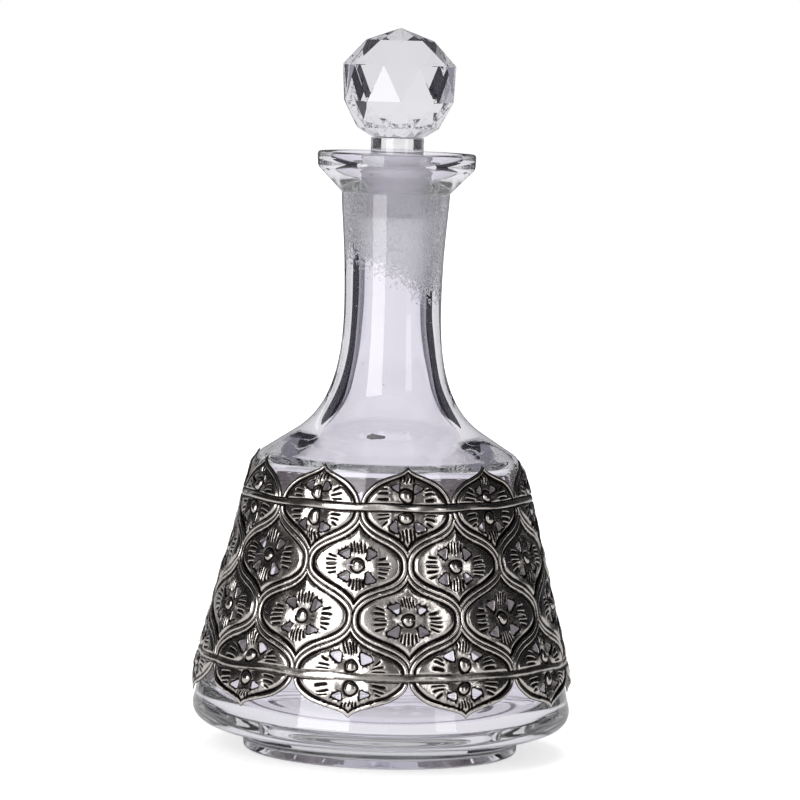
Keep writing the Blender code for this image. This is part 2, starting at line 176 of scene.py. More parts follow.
def studio_board(name, centre, size, turn, code, in_metal, in_glass):
    """A plain board that only metal or glass shows. The camera doesn't see it and it casts no shadow."""
    select_only()
    bpy.ops.mesh.primitive_plane_add(size=1.0)
    board = bpy.context.object
    board.name = name
    board.data.transform(Matrix.Translation(centre) @ turn.to_4x4() @ Matrix.Diagonal((*size, 1.0, 1.0)))
    finish, tree, out = new_material(name)
    face = add_node(tree, "ShaderNodeEmission", {"Color": colour(code), "Strength": 1.0})
    tree.links.new(face.outputs[0], out.inputs["Surface"])
    board.data.materials.append(finish)
    board.visible_camera = False
    board.visible_diffuse = False
    board.visible_shadow = False
    board.visible_glossy = in_metal
    board.visible_transmission = in_glass
    return board


upright = Matrix.Rotation(math.radians(90), 3, "X")


def ring_board(name, start, end, away, height, code, in_metal, in_glass):
    """A board that stands round the carafe between two directions, in degrees from the camera's side."""
    turn = Matrix.Rotation(math.radians((start + end) / 2), 3, "Z")
    width = 2 * away * math.tan(math.radians((end - start) / 2))
    centre = turn @ Vector((0, -away, height / 2))
    studio_board(name, centre, (width, height), turn @ upright, code, in_metal, in_glass)


# In each row: start and end in degrees from the camera's side, and the tone of the board.
# What the metal mirrors: a dark room, lighter boards at the front and back, and gaps for the lamps
METAL_RING = (
    (-17, 4, "#ACACAE"), (4, 33, "#58585A"), (46, 72, "#2A2A2C"), (72, 100, "#1E1E20"),
    (100, 128, "#1E1E20"), (128, 148, "#3C3C3E"), (148, 180, "#3C3C3E"), (180, 212, "#3C3C3E"),
    (217, 232, "#3C3C3E"), (232, 260, "#1E1E20"), (260, 288, "#1E1E20"), (288, 310, "#3C3C3E"),
)
for number, (start, end, code) in enumerate(METAL_RING):
    ring_board("metal_board_" + str(number + 1), start, end, 1.4, 1.5, code, True, False)

# A dark board behind, with a pale one beside it, draws the edges of the glass at each side
GLASS_RING = (
    (105, 121, "#A3A1AC"), (121, 153, "#282630"), (207, 239, "#282630"), (239, 255, "#A3A1AC"),
)
for number, (start, end, code) in enumerate(GLASS_RING):
    ring_board("glass_board_" + str(number + 1), start, end, 0.9, 0.50, code, False, True)
# Two dark cards flat on the table draw the eyes in the lip and the outer facets of the ball
for number, direction in enumerate((116, 244)):
    turn = Matrix.Rotation(math.radians(direction), 3, "Z")
    studio_board("table_card_" + str(number + 1), turn @ Vector((0, -0.28, 0.0005)), (0.30, 0.28), turn,
                 "#2A2830", False, True)
studio_board("glass_ceiling", Vector((0, 0, 1.0)), (1.7, 1.7), Matrix.Identity(3), "#C4C4C8", False, True)
studio_board("metal_ceiling", Vector((0, 0, 1.5)), (3.2, 3.2), Matrix.Identity(3), "#2A2A2C", True, False)

# %% Lamps
LAMPS = (
    # name, place, aim height, width, height, watts
    ("key_softbox", (-0.342, -0.517, 0.31), 0.26, 0.35, 0.58, 2.7),
    ("fill_softbox", (0.87, -1.04, 0.50), 0.13, 0.30, 0.85, 1.3),
    ("top_softbox", (0.0, 0.1, 1.30), 0.10, 0.80, 0.80, 7.0),
)
for name, place, aim_height, width, height, watts in LAMPS:
    lamp = bpy.data.lights.new(name, "AREA")
    lamp.shape = "RECTANGLE"
    lamp.size = width
    lamp.size_y = height
    lamp.energy = watts
    holder = bpy.data.objects.new(name, lamp)
    towards = (Vector((0, 0, aim_height)) - Vector(place)).to_track_quat("-Z", "Y")
    holder.matrix_world = Matrix.Translation(Vector(place)) @ towards.to_matrix().to_4x4()
    holder.visible_camera = holder.visible_transmission = False
    holder.visible_glossy = name != "top_softbox"
    scene.collection.objects.link(holder)
print("lamps:", [row[0] for row in LAMPS])

# %% [markdown]
# The bottle is blown and pressed soda-lime glass: one closed wall, thick in the neck and the base.
# It is drawn as a glassmaker's profile, from the middle of the floor inside, up to the mouth, over
# the lip and down to the middle of the foot, by extruding one point, and then spun round. One spin
# gives the inner and outer face together, so the glass is a true closed solid and bends light as
# such a wall does.

# %% Curves for profiles
def rounded(corners):
    """A polyline with each corner (point, radius, steps) replaced by an arc of that radius."""
    line = []
    for index, (point, radius, steps) in enumerate(corners):
        point = Vector(point)
        if not radius:
            line.append(point)
            continue
        before = (Vector(corners[index - 1][0]) - point).normalized()
        after = (Vector(corners[index + 1][0]) - point).normalized()
        half = before.angle(after) / 2
        centre = point + (before + after).normalized() * (radius / math.sin(half))
        start = point + before * (radius / math.tan(half)) - centre
        sweep = start.angle_signed(point + after * (radius / math.tan(half)) - centre)
        for step in range(steps + 1):
            line.append(centre + Matrix.Rotation(-sweep * step / steps, 2) @ start)
    return line


def swept(start, start_handle, end_handle, end, steps):
    """Points along a Bezier curve, without its first point."""
    points = []
    for step in range(1, steps + 1):
        t = step / steps
        u = 1 - t
        points.append(Vector(start) * u**3 + Vector(start_handle) * 3 * u * u * t
                      + Vector(end_handle) * 3 * u * t * t + Vector(end) * t**3)
    return points


def filled_in(profile, longest):
    """The same line with its long stretches divided, so that the glass can waver along them."""
    line = [profile[0]]
    for before, after in zip(profile, profile[1:]):
        parts = max(1, math.ceil((after - before).length / longest))
        line += [before.lerp(after, part / parts) for part in range(1, parts + 1)]
    return line


# %% Turning a profile
def turn_on_axis(name, profile, steps):
    """Draws a profile (millimetres from the axis, millimetres up) point by point and spins it round Z."""
    select_only()
    bpy.ops.mesh.primitive_plane_add(size=MM, location=(0, 0, 0))
    obj = bpy.context.object
    obj.name = obj.data.name = name
    bpy.ops.object.mode_set(mode="EDIT")
    bpy.ops.mesh.select_all(action="SELECT")
    bpy.ops.mesh.merge(type="CENTER")
    bpy.ops.transform.translate(value=(profile[0].x * MM, 0, profile[0].y * MM))
    for before, after in zip(profile, profile[1:]):
        move = ((after.x - before.x) * MM, 0, (after.y - before.y) * MM)
        bpy.ops.mesh.extrude_region_move(TRANSFORM_OT_translate={"value": move})
    bpy.ops.mesh.select_all(action="SELECT")
    bpy.ops.mesh.spin(steps=steps, angle=math.tau, center=(0, 0, 0), axis=(0, 0, 1))
    bpy.ops.mesh.select_all(action="SELECT")
    bpy.ops.mesh.remove_doubles(threshold=0.00002)
    bpy.ops.mesh.normals_make_consistent(inside=False)
    bpy.ops.object.mode_set(mode="OBJECT")
    bpy.ops.object.shade_smooth_by_angle(angle=math.radians(35))
    return obj


def waver(points, size, seed):
    """Slow random rise and fall, about -1 to 1, at each point. size is the distance from hill to hill."""
    chance = np.random.default_rng(seed)
    total = np.zeros(len(points))
    for _ in range(9):
        way = chance.normal(size=3)
        way *= math.tau / (size * chance.uniform(0.75, 1.4)) / np.linalg.norm(way)
        total += np.sin(points @ way + chance.uniform(0, math.tau))
    return total / 3


def vertex_places(obj):
    """The places of a mesh's vertices as rows of numbers."""
    places = np.zeros(len(obj.data.vertices) * 3)
    obj.data.vertices.foreach_get("co", places)
    return places.reshape(-1, 3)


def set_places(obj, places):
    """Moves a mesh's vertices to these places."""
    obj.data.vertices.foreach_set("co", places.ravel())
    obj.data.update()


# %% The bottle's profile
BOTTLE_HEIGHT = 212.1
HEEL_RADIUS, FOOT_HEIGHT = 69.3, 6.6
SHOULDER_RADIUS, SHOULDER_HEIGHT = 46.5, 104.8
WALL = 3.6
SHOULDER_WALL = 4.2
NECK_BASE_WALL = 5.7
FLOOR = 12.5
BORE_RADIUS, BORE_TOP = 11.4, 162.0
SOCKET_LENGTH = 38.0
SOCKET_TOP = 199.5
LIP_RADIUS = 27.9
SEAT = BOTTLE_HEIGHT - 2.0
TAPER = 0.05
PLUG_RADIUS = 13.2
PLUG_GAP = 0.3


def plug_radius_at(height):
    """Radius of the stopper's ground face at a height, in millimetres."""
    return PLUG_RADIUS - TAPER * (SEAT - height)


# The inner wall runs beside the outer one, and the two inner lines meet under the shoulder
heel = Vector((HEEL_RADIUS, FOOT_HEIGHT))
corner = Vector((SHOULDER_RADIUS, SHOULDER_HEIGHT))
neck_base = Vector((33.1, 113.5))
wall = (corner - heel).normalized()
shoulder = (neck_base - corner).normalized()
wall_side = Vector((-wall.y, wall.x))
shoulder_side = Vector((-shoulder.y, shoulder.x))
inner_heel = heel + wall_side * WALL
inner_heel += wall * ((FLOOR - inner_heel.y) / wall.y)
wall_in = corner + wall_side * WALL
across = corner + shoulder_side * SHOULDER_WALL - wall_in
inner_shoulder = wall_in + wall * (across.cross(shoulder) / wall.cross(shoulder))
inner_base = neck_base + shoulder_side * NECK_BASE_WALL
inner_slope = (inner_shoulder - inner_base).normalized()
bore_top = (BORE_RADIUS, BORE_TOP)
socket_end = SEAT - SOCKET_LENGTH
socket_top = Vector((plug_radius_at(SOCKET_TOP) + PLUG_GAP, SOCKET_TOP))
mouth = Vector((24.0, BOTTLE_HEIGHT - 0.8))
waist = (17.2, 158.0)

# Inside, from the middle of the floor up to the mouth
inside = [Vector((0, FLOOR))]
inside += rounded([
    ((0, FLOOR), 0, 0), (inner_heel, 10.0, 12), (inner_shoulder, 4.0, 6), (inner_base, 0, 0),
])[1:]
inside += swept(inner_base, inner_base - inner_slope * 16.4, (BORE_RADIUS, BORE_TOP - 26.3), bore_top, 24)
inside += [Vector((plug_radius_at(socket_end) + PLUG_GAP, socket_end)), socket_top]
flare = Vector((8.7, 8.9)).normalized()
inside += swept(socket_top, socket_top + flare * 5.3, mouth - Vector((0, 4.1)), mouth, 14)
lip = (LIP_RADIUS, BOTTLE_HEIGHT)
inside += rounded([(mouth, 0, 0), (mouth + Vector((0, 0.8)), 0.7, 4), (lip, 0, 0)])[1:-1]
# Outside, from the lip down to the middle of the hollow under the foot
outside = rounded([
    ((0, BOTTLE_HEIGHT), 0, 0), (lip, 0.9, 5), ((LIP_RADIUS, 206.9), 3.0, 8), ((19.2, 198.0), 0.8, 3),
    ((18.6, 186.0), 0, 0),
])[1:-1]
outside += swept((19.2, 197.4), (18.6, 186.0), (17.2, 178.0), waist, 14)
outside += swept(waist, (17.2, 136.5), neck_base + shoulder * 14.4, neck_base, 26)
outside += rounded([
    (neck_base, 0, 0), (corner, 6.0, 8), ((68.2, 11.3), 6.5, 12), ((58.4, 7.8), 2.0, 4),
    ((48.9, 7.0), 0.8, 3), ((48.6, 0.0), 1.3, 5), ((41.0, 0.0), 1.0, 3), ((38.5, 2.5), 1.5, 3),
    ((0, 2.5), 0, 0),
])[1:]
profile = filled_in(inside + outside, 4.0)
print("profile of the bottle:", len(profile), "points")

# %% Spin the bottle, and let the blown wall waver a little
bottle = turn_on_axis("carafe_bottle", profile, 144)
places = vertex_places(bottle)
height = places[:, 2] / MM
within = np.clip((height - 12) / 20, 0, 1) * np.clip((205 - height) / 15, 0, 1)
radius = np.hypot(places[:, 0], places[:, 1])
inner_face = radius / MM < np.interp(height, [12, 104, 115, 130, 150, 212], [64, 45, 28, 19, 15.5, 15.5])
sway = np.where(inner_face, 0.16 * waver(places / MM, 38, 3) + 0.05 * waver(places / MM, 14, 4),
                0.05 * waver(places / MM, 45, 5))
# The ground socket stays true, so that the plug fits
ground = (height > 170) & inner_face
sway = np.where(ground, 0, sway) * within * MM
places[:, :2] *= (1 + sway / np.maximum(radius, MM))[:, None]
places[:, 2] = np.maximum(places[:, 2], 0.0)
set_places(bottle, places)
print("bottle:", len(bottle.data.vertices), "points")

# %% [markdown]
# The stopper's lower piece is cut from clear glass. Its plug is ground with grit until it fits the
# neck, which leaves it white and matt, and the short shank above it is sawn and left rough. It is
# turned like the bottle.

# %% The plug
END = SEAT - 20.5
CROWN = SEAT + 1.2
SHANK_TOP = SEAT + 7.3
plug_profile = [Vector((0, SHANK_TOP))]
plug_profile += rounded([
    ((0, SHANK_TOP), 0, 0), ((9.3, SHANK_TOP), 0.2, 2), ((9.3, CROWN), 0.6, 3),
    ((PLUG_RADIUS, CROWN), 1.4, 6),
    ((13.15, SEAT - 0.6), 0.5, 3), ((12.7, SEAT - 2.0), 0.5, 3), ((12.9, SEAT - 3.6), 0.5, 3),
    ((12.35, SEAT - 5.6), 0.6, 3), ((12.75, SEAT - 7.6), 0.5, 3), ((12.4, SEAT - 9.2), 0.4, 3),
    ((plug_radius_at(SEAT - 10.6), SEAT - 10.6), 0.3, 2), ((plug_radius_at(END + 1.0), END + 1.0), 0.4, 2),
    ((plug_radius_at(END) - 1.0, END), 0.5, 2), ((0, END), 0, 0),
])[1:]
plug = turn_on_axis("carafe_plug", filled_in(plug_profile, 2.0), 96)
print("plug:", len(plug.data.vertices), "points")

# %% [markdown]
# The ball is lead crystal, cut on a wheel into rings of flat facets and polished. The CAD ball has
# those facets already, so a copy of it is merged, its triangles that lie in one plane are joined, and
# every edge gets a hair-thin bevel, which is what catches the light on cut glass.

# %% The ball
select_only()
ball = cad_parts["stopper_ball"].copy()
ball.data = ball.data.copy()
ball.name = ball.data.name = "carafe_ball"
bpy.context.scene.collection.objects.link(ball)
ball.parent = None
select_only(ball)
bpy.ops.object.mode_set(mode="EDIT")
bpy.ops.mesh.select_all(action="SELECT")
bpy.ops.mesh.remove_doubles(threshold=0.00002)
bpy.ops.mesh.dissolve_limited(angle_limit=math.radians(1))
bpy.ops.mesh.select_all(action="SELECT")
bpy.ops.mesh.bevel(offset=0.10 * MM, segments=1, affect="EDGES")
bpy.ops.mesh.select_all(action="SELECT")
bpy.ops.mesh.normals_make_consistent(inside=False)
bpy.ops.object.mode_set(mode="OBJECT")
bpy.ops.object.shade_flat()
print("ball:", len(ball.data.polygons), "faces")

# %% [markdown]
# The sleeve is a thin sheet of silvered metal, stamped and chased: ridges outline an ogee lattice,
# each motif has a domed boss, four petals with short chisel strokes at their ends, and four pierced
# windows. A wrapped picture of it would stay flat at its edges, so it is real relief: one quarter of
# each kind of motif is set out as points on the flat, closer where the form turns sharply, joined by
# a Delaunay net with the windows left open, raised, and wrapped on the cone. No tool of Blender's
# edit mode sets out such a net, so these meshes are made in code, and only the sheet's thickness
# comes from a modifier.

# %% Where the sleeve's rows lie
MOTIFS = 10
SLEEVE_TURN = math.radians(-9.8)
BEAD = 1.2
TIP, LOWER_BEAD, LOWER_ROW, UPPER_ROW, UPPER_BEAD, TOP = 20.6, 34.5, 54.2, 72.2, 91.5, 105.5


def sleeve_radius_at(height):
    """Radius of the sheet's outer face in the grooves, at heights in millimetres."""
    rise = (height - FOOT_HEIGHT) / (SHOULDER_HEIGHT - FOOT_HEIGHT)
    wall_radius = HEEL_RADIUS + (SHOULDER_RADIUS - HEEL_RADIUS) * rise
    below = (UPPER_BEAD - height) / (UPPER_BEAD - LOWER_BEAD)
    lower = np.maximum(0.0, (LOWER_BEAD - height) / (LOWER_BEAD - TIP))
    upper = np.maximum(0.0, (height - UPPER_BEAD) / (TOP - UPPER_BEAD))
    return wall_radius + 1.05 + below - lower**2 - upper**2


SCALLOP = ((0, 0.1, 0.2, 0.3, 0.4, 0.5, 0.6, 0.7, 0.8, 0.88, 0.94, 1),
           (1, 0.985, 0.955, 0.905, 0.835, 0.745, 0.625, 0.43, 0.21, 0.085, 0.038, 0))


def ogee(t, free):
    """Half width of a motif at a share of its half height. A free scallop follows measured points."""
    if not free:
        near = np.minimum(t, 1 - t)
        curve = 0.5 * (2 * near) ** 2.45
        return np.where(t < 0.5, 1 - curve, curve)
    knots, widths = np.array(SCALLOP)
    slopes = np.gradient(widths, knots)
    i = np.clip(np.searchsorted(knots, t) - 1, 0, len(knots) - 2)
    gap = knots[i + 1] - knots[i]
    s = (t - knots[i]) / gap
    return ((2 * s**3 - 3 * s**2 + 1) * widths[i] + (s**3 - 2 * s**2 + s) * gap * slopes[i]
            + (3 * s**2 - 2 * s**3) * widths[i + 1] + (s**3 - s**2) * gap * slopes[i + 1])


# kind of quarter: row height, half turn, bead half width, up or down, half height, free edge
QUARTERS = (
    (LOWER_BEAD, 0.0, BEAD, -1, LOWER_BEAD - TIP - BEAD, True),
    (LOWER_BEAD, 0.0, BEAD, 1, LOWER_ROW - LOWER_BEAD - BEAD, False),
    (LOWER_ROW, 0.5, 0.0, -1, LOWER_ROW - LOWER_BEAD - BEAD, False),
    (LOWER_ROW, 0.5, 0.0, 1, UPPER_ROW - LOWER_ROW, False),
    (UPPER_ROW, 0.0, 0.0, -1, UPPER_ROW - LOWER_ROW, False),
    (UPPER_ROW, 0.0, 0.0, 1, UPPER_BEAD - UPPER_ROW - BEAD, False),
    (UPPER_BEAD, 0.5, BEAD, -1, UPPER_BEAD - UPPER_ROW - BEAD, False),
    (UPPER_BEAD, 0.5, BEAD, 1, TOP - UPPER_BEAD - BEAD, True),
)
print("kinds of quarter:", len(QUARTERS))

# %% Distances that the relief is drawn by
RIDGE_STEPS = (0.15, 0.32, 0.55, 0.95, 1.35, 1.62, 1.84, 2.05, 2.3, 2.55, 2.85, 3.4)


def distance_to(points, line):
    """Shortest distance from each point to a polyline."""
    a, b = line[:-1], line[1:]
    along = b - a
    length = np.maximum((along**2).sum(1), 1e-12)
    best = np.full(len(points), 1e9)
    for start, way, square in zip(a, along, length):
        share = np.clip(((points - start) @ way) / square, 0, 1)
        best = np.minimum(best, np.hypot(*(points - start - share[:, None] * way).T))
    return best


def inside_shape(points, corners):
    """Which points lie inside a closed shape, given its corners in turn."""
    within = np.zeros(len(points), bool)
    for (ax, ay), (bx, by) in zip(corners, np.roll(corners, -1, axis=0)):
        crosses = (points[:, 1] < ay) != (points[:, 1] < by)
        slope = (bx - ax) / (by - ay) if by != ay else 0
        within ^= crosses & (points[:, 0] < ax + (points[:, 1] - ay) * slope)
    return within


def smooth(value, low, high):
    """Rises from 0 to 1 between two values, gently at both ends."""
    t = np.clip((value - low) / (high - low), 0, 1)
    return t * t * (3 - 2 * t)


# %% What one quarter of a motif holds
def rounded_window(corners, squeeze):
    """A pierced three-sided window with its corners worn round."""
    corners = [((x * squeeze, y), 0.45, 3) for x, y in corners]
    line = rounded([(corners[-1][0], 0, 0)] + corners + [(corners[0][0], 0, 0)])
    return np.array([tuple(point) for point in line[1:-1]])


def quarter_plan(row, half_height, bead, free):
    """The lines of one quarter: its outline, boss, window and chisel strokes, in millimetres."""
    half_width = math.pi * sleeve_radius_at(row) / MOTIFS
    t = np.linspace(0, 1, 41)
    outline = np.column_stack([half_width * ogee(t, free), half_height * t])
    boss = (0.0, 2.6 if bead else 0.0)
    lift = 1.6 if bead else 0.0
    squeeze = half_width / 18.6
    window = rounded_window([(3.3, 1.9 + lift), (7.2, 4.5 + lift), (3.4, 6.1 + lift)], squeeze)
    if free:
        window = rounded_window([(2.9, 3.2), (6.3, 4.7), (3.0, 6.5)], squeeze)
    if bead:
        strokes = [((6.9, 1.2), (11.0, 1.5)), ((6.8, 2.7), (10.6, 3.4)), ((7.4, 4.2), (9.6, 5.2))]
    else:
        strokes = [((7.4, 0.0), (11.4, 0.0)), ((7.3, 1.35), (11.2, 1.65)), ((7.5, 2.7), (10.4, 3.4))]
    strokes = [(np.array(a) * (squeeze, 1), np.array(b) * (squeeze, 1)) for a, b in strokes]
    foot = 3.9 + boss[1]
    for x, lean, length in ((0.0, 0.0, 4.4), (1.1, 0.15, 4.2), (2.15, 0.35, 3.0)):
        tall = min(length, 0.70 * half_height - foot)
        strokes.append((np.array((x, foot + 0.3 * x)), np.array((x + lean, foot + 0.3 * x + tall))))
    return {"half_width": half_width, "half_height": half_height, "outline": outline, "boss": boss,
            "bead_wear": 1.0 if row == LOWER_BEAD else 0.0, "window": window, "strokes": strokes,
            "bead": bead, "squeeze": squeeze}


def closeness(y, plan):
    """How much closer together the ridges lie at a height in a motif: they close up towards its tip."""
    return 1.1 + 0.55 * smooth(y / plan["half_height"], 0.45, 0.95)


def even_points(start, end, step):
    """Points along a straight line at about one spacing, with both ends."""
    start, end = np.asarray(start, float), np.asarray(end, float)
    count = max(1, round(np.linalg.norm(end - start) / step))
    return start + (end - start) * np.linspace(0, 1, count + 1)[:, None]


def quarter_points(plan, grid):
    """Points to raise: rows along the ridges, rings on the boss, both sides of each stroke, and a field."""
    half_width, half_height, outline = plan["half_width"], plan["half_height"], plan["outline"]
    free_points = []
    way = np.gradient(outline, axis=0)
    way /= np.linalg.norm(way, axis=1)[:, None]
    inward = np.column_stack([-way[:, 1], way[:, 0]])
    closer = closeness(outline[:, 1], plan)
    for step in RIDGE_STEPS:
        row = outline + inward * (step / closer)[:, None]
        keep = (distance_to(row, outline) > step / closer - 0.02) & (row[:, 0] > 0.12) & (row[:, 1] > 0.12)
        free_points.append(row[keep])
    boss_x, boss_y = plan["boss"]
    for ring in (0.6, 1.1, 1.5, 1.8, 1.98, 2.2, 2.5, 2.8, 3.2):
        angles = np.linspace(-math.pi / 2, math.pi / 2, 2 * math.ceil(ring * 3) + 1)
        round_boss = [boss_x + ring * np.cos(angles), boss_y + ring * np.sin(angles)]
        free_points.append(np.column_stack(round_boss))
    for start, end in plan["strokes"]:
        line = even_points(start, end, 0.45)
        side = np.array([-(end - start)[1], (end - start)[0]]) / np.linalg.norm(end - start)
        for off in (-0.60, -0.42, -0.2, 0.2, 0.42, 0.60):
            free_points.append(line + side * off)
    centre = plan["window"].mean(0)
    for grow in (1.10, 1.20, 1.32):
        loop = centre + (plan["window"] - centre) * grow
        for a, b in zip(loop, np.roll(loop, -1, axis=0)):
            free_points.append(even_points(a, b, 0.5))
    xs = np.arange(grid / 2, half_width, grid)
    ys = np.arange(grid / 2, half_height, grid * 0.87)
    field = np.array([(x + (grid / 2 if j % 2 else 0), y) for j, y in enumerate(ys) for x in xs])
    close = np.vstack(free_points)
    gap = np.array([np.min(np.hypot(*(close - point).T)) for point in field])
    free_points.append(field[gap > grid * 0.55])
    return np.vstack(free_points)


# %% Raising the quarter
def relief(plan, points):
    """Height of the chased surface over the sheet's grooves, and how tarnished it is, at each point."""
    x, y = points.T
    ridge = distance_to(points, plan["outline"]) * closeness(y, plan)
    pierced = distance_to(points, np.vstack([plan["window"], plan["window"][:1]]))
    boss = np.hypot(x - plan["boss"][0], y - plan["boss"][1])
    rise = np.interp(ridge, [0, 0.15, 0.32, 0.55, 0.95, 1.35, 1.62, 1.84, 2.05, 2.3, 2.55],
                     [0.26, 0.34, 0.62, 0.83, 0.92, 0.86, 0.66, 0.34, 0.06, 0.0, 0.06])
    tarnish = np.interp(ridge, [0, 0.14, 0.32, 0.46, 1.50, 1.74, 2.42, 2.75, 3.1],
                        [1.0, 1.0, 0.35, 0.0, 0.0, 1.0, 1.0, 0.4, 0.0])
    turned = np.arctan2(y - plan["boss"][1], x / plan["squeeze"])
    petal = 0.5 + 0.5 * np.cos(4 * turned)
    rise += smooth(ridge, 2.25, 3.6) * (0.16 + 0.62 * petal * smooth(boss, 2.6, 6.0))
    rise += 0.24 * np.exp(-((pierced - 0.62) / 0.34) ** 2) - 0.20 * (1 - smooth(pierced, 0.0, 0.35))
    tarnish = np.maximum(tarnish, np.interp(pierced, [0, 0.08, 0.2, 0.5, 0.72], [0.2, 0.8, 1.0, 1.0, 0.0]))
    tarnish = np.maximum(tarnish, 0.45 * np.exp(-((pierced - 1.5) / 0.4) ** 2))
    dome = 1.05 * np.sqrt(np.clip(1 - (boss / 2.0) ** 2, 0, 1)) + 0.05
    moat = np.exp(-((boss - 2.32) / 0.30) ** 2)
    rise = np.where(boss < 1.98, dome, rise * (1 - 0.9 * moat))
    tarnish = np.where(boss < 1.85, 0.0, np.maximum(tarnish, 1 - smooth(boss, 2.55, 2.95)))
    for start, end in plan["strokes"]:
        way = (end - start) / np.linalg.norm(end - start)
        off = points - start
        along = off @ way / np.linalg.norm(end - start)
        aside = np.abs(off @ np.array([-way[1], way[0]]))
        cut = np.clip(1.7 - aside / 0.30, 0, 1)
        cut = cut * smooth(along, -0.10, 0.22) * (1 - smooth(along, 0.92, 1.08))
        cut *= smooth(boss, 2.8, 3.2) * smooth(ridge, 2.0, 2.5) * smooth(pierced, 0.15, 0.5)
        rise -= 0.36 * cut
        tarnish = np.maximum(tarnish, np.minimum(1, 1.5 * cut))
    if plan["bead"]:
        worn = plan["bead_wear"]
        foot = 0.05 + 0.28 * worn
        beside = smooth(y, 0.0, 0.55)
        rise = np.where(y > 0, foot + (rise - foot) * beside, rise)
        edge_tarnish = (1 - 0.5 * worn) * (1 - smooth(y, 0.12, 0.5))
        tarnish = np.where(y > 0, np.maximum(tarnish, edge_tarnish), tarnish)
        across = (y + plan["bead"]) / (plan["bead"] * (1 - 0.35 * worn) + 0.05)
        bead = foot + (0.55 - 0.33 * worn) * np.sqrt(np.clip(1 - across**2, 0, 1))
        rise = np.where(y <= 0, bead, rise)
        tarnish = np.where(y <= 0, (1 - 0.4 * worn) * smooth(np.abs(across), 0.6, 0.95), tarnish)
    return rise, tarnish


def raise_quarter(plan, grid):
    """One flat quarter: its points, triangles, relief and tarnish. The window is cut out."""
    half_width, half_height, outline = plan["half_width"], plan["half_height"], plan["outline"]
    field_end = half_width - RIDGE_STEPS[-1]
    along = np.concatenate([np.linspace(0, field_end, round(field_end / 0.5) + 1),
                            half_width - np.array(RIDGE_STEPS[-2::-1]), [half_width]])
    up = np.linspace(0, half_height, round(half_height / 0.4) + 1)[1:-1]
    low = -plan["bead"] if plan["bead"] else 0.0
    edge = [(x, low) for x in along]
    rows = []
    if plan["bead"]:
        for y in (-0.9, -0.55, -0.25, 0.0, 0.15, 0.35, 0.6):
            rows += [(x, y) for x in along]
        edge += [(half_width, y) for y in (-0.9, -0.55, -0.25)]
    first = 0 if plan["bead"] else 1
    edge += [tuple(point) for point in outline[first:-1]]
    edge += [(0.0, half_height)]
    edge += [(0.0, y) for y in up[::-1]]
    if plan["bead"]:
        edge += [(0.0, y) for y in (0.0, -0.25, -0.55, -0.9)]
    edge = np.array(edge)
    loose = np.vstack([quarter_points(plan, grid)] + ([np.array(rows)] if rows else []))
    keep = inside_shape(loose, edge)
    keep &= distance_to(loose, np.vstack([edge, edge[:1]])) > 0.14
    keep &= ~inside_shape(loose, plan["window"])
    closed = np.vstack([plan["window"], plan["window"][:1]])
    keep &= distance_to(loose, closed) > 0.16
    loose = loose[keep]
    hole = np.vstack([even_points(a, b, 0.5)[:-1] for a, b in zip(closed, closed[1:])])
    everything = [Vector(p) for p in np.vstack([edge, hole, loose])]
    rim = [(i, (i + 1) % len(edge)) for i in range(len(edge))]
    rim += [(len(edge) + i, len(edge) + (i + 1) % len(hole)) for i in range(len(hole))]
    # The net also fills the window, so the triangles whose middle lies in it are dropped
    points, _, triangles, _, _, _ = delaunay_2d_cdt(everything, rim, [], 2, 0.01)
    points = np.array([tuple(p) for p in points])
    triangles = np.array([tuple(f) for f in triangles])
    pierced = inside_shape(points[triangles].mean(axis=1), plan["window"])
    print("triangles cut out of the window:", int(pierced.sum()))
    rise, tarnish = relief(plan, points)
    return points, triangles[~pierced], rise, tarnish


GRID = 0.75
quarters = []
for row, turn, bead, up, half_height, free in QUARTERS:
    plan = quarter_plan(row, half_height, bead, free)
    quarters.append((plan, raise_quarter(plan, GRID)))
    print("quarter at", row, "up" if up > 0 else "down", "has", len(quarters[-1][1][0]), "points")

# %% Wrapping the quarters on the cone
SHEET = 0.42
WIDEST = 67.4


